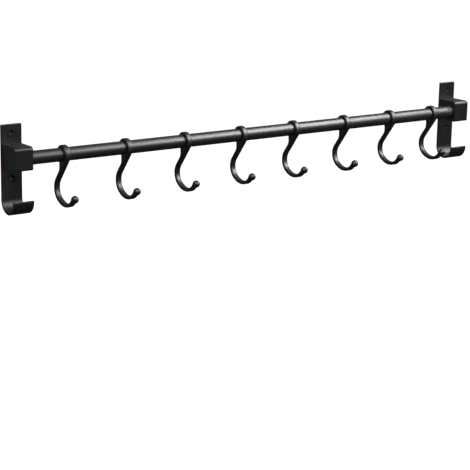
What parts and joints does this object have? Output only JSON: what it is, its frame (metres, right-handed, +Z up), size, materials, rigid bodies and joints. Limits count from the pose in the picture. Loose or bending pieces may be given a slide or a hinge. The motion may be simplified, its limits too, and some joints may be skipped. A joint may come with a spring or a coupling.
{
  "type": "kitchen utensil rail",
  "caption": "Wall rail for kitchen utensils: a round tube between two flat end brackets with lower J hooks, carrying cast hooks that slide along the tube.",
  "frame": {"origin": "centre of the rectangle of four wall screws, on the wall plane behind the bracket plates", "axes": "+X along the rail to the right as seen from the front, +Y into the wall, +Z up; the front faces -Y"},
  "size_m": [0.692, 0.0582, 0.1016],
  "materials": {
    "bracket_black": "satin black coating",
    "tube_black": "satin black anodised, soft sheen along the length",
    "hook_black": "satin black coating over a casting",
    "screw_black": "black oxide"
  },
  "bodies": {
    "rail_frame": {"bracket_left": "bracket_black", "bracket_right": "bracket_black", "rail_tube": "tube_black", "tube_set_screws": "screw_black", "wall_screws": "screw_black"},
    "sliding_hook_1": {"hook_1": "hook_black"},
    "sliding_hook_2": {"hook_2": "hook_black"},
    "sliding_hook_3": {"hook_3": "hook_black"},
    "sliding_hook_4": {"hook_4": "hook_black"},
    "sliding_hook_5": {"hook_5": "hook_black"},
    "sliding_hook_6": {"hook_6": "hook_black"},
    "sliding_hook_7": {"hook_7": "hook_black"},
    "sliding_hook_8": {"hook_8": "hook_black"}
  },
  "joints": [
    {"name": "hook_1_slide", "type": "slide", "parent": "rail_frame", "child": "sliding_hook_1", "axis": [1, 0, 0], "range_m": [-0.0414, 0.0369]},
    {"name": "hook_2_slide", "type": "slide", "parent": "rail_frame", "child": "sliding_hook_2", "axis": [1, 0, 0], "range_m": [-0.0369, 0.0371]},
    {"name": "hook_3_slide", "type": "slide", "parent": "rail_frame", "child": "sliding_hook_3", "axis": [1, 0, 0], "range_m": [-0.037, 0.0367]},
    {"name": "hook_4_slide", "type": "slide", "parent": "rail_frame", "child": "sliding_hook_4", "axis": [1, 0, 0], "range_m": [-0.0368, 0.0359]},
    {"name": "hook_5_slide", "type": "slide", "parent": "rail_frame", "child": "sliding_hook_5", "axis": [1, 0, 0], "range_m": [-0.0359, 0.0364]},
    {"name": "hook_6_slide", "type": "slide", "parent": "rail_frame", "child": "sliding_hook_6", "axis": [1, 0, 0], "range_m": [-0.0363, 0.034]},
    {"name": "hook_7_slide", "type": "slide", "parent": "rail_frame", "child": "sliding_hook_7", "axis": [1, 0, 0], "range_m": [-0.0341, 0.032]},
    {"name": "hook_8_slide", "type": "slide", "parent": "rail_frame", "child": "sliding_hook_8", "axis": [1, 0, 0], "range_m": [-0.032, 0.0266]}
  ]
}
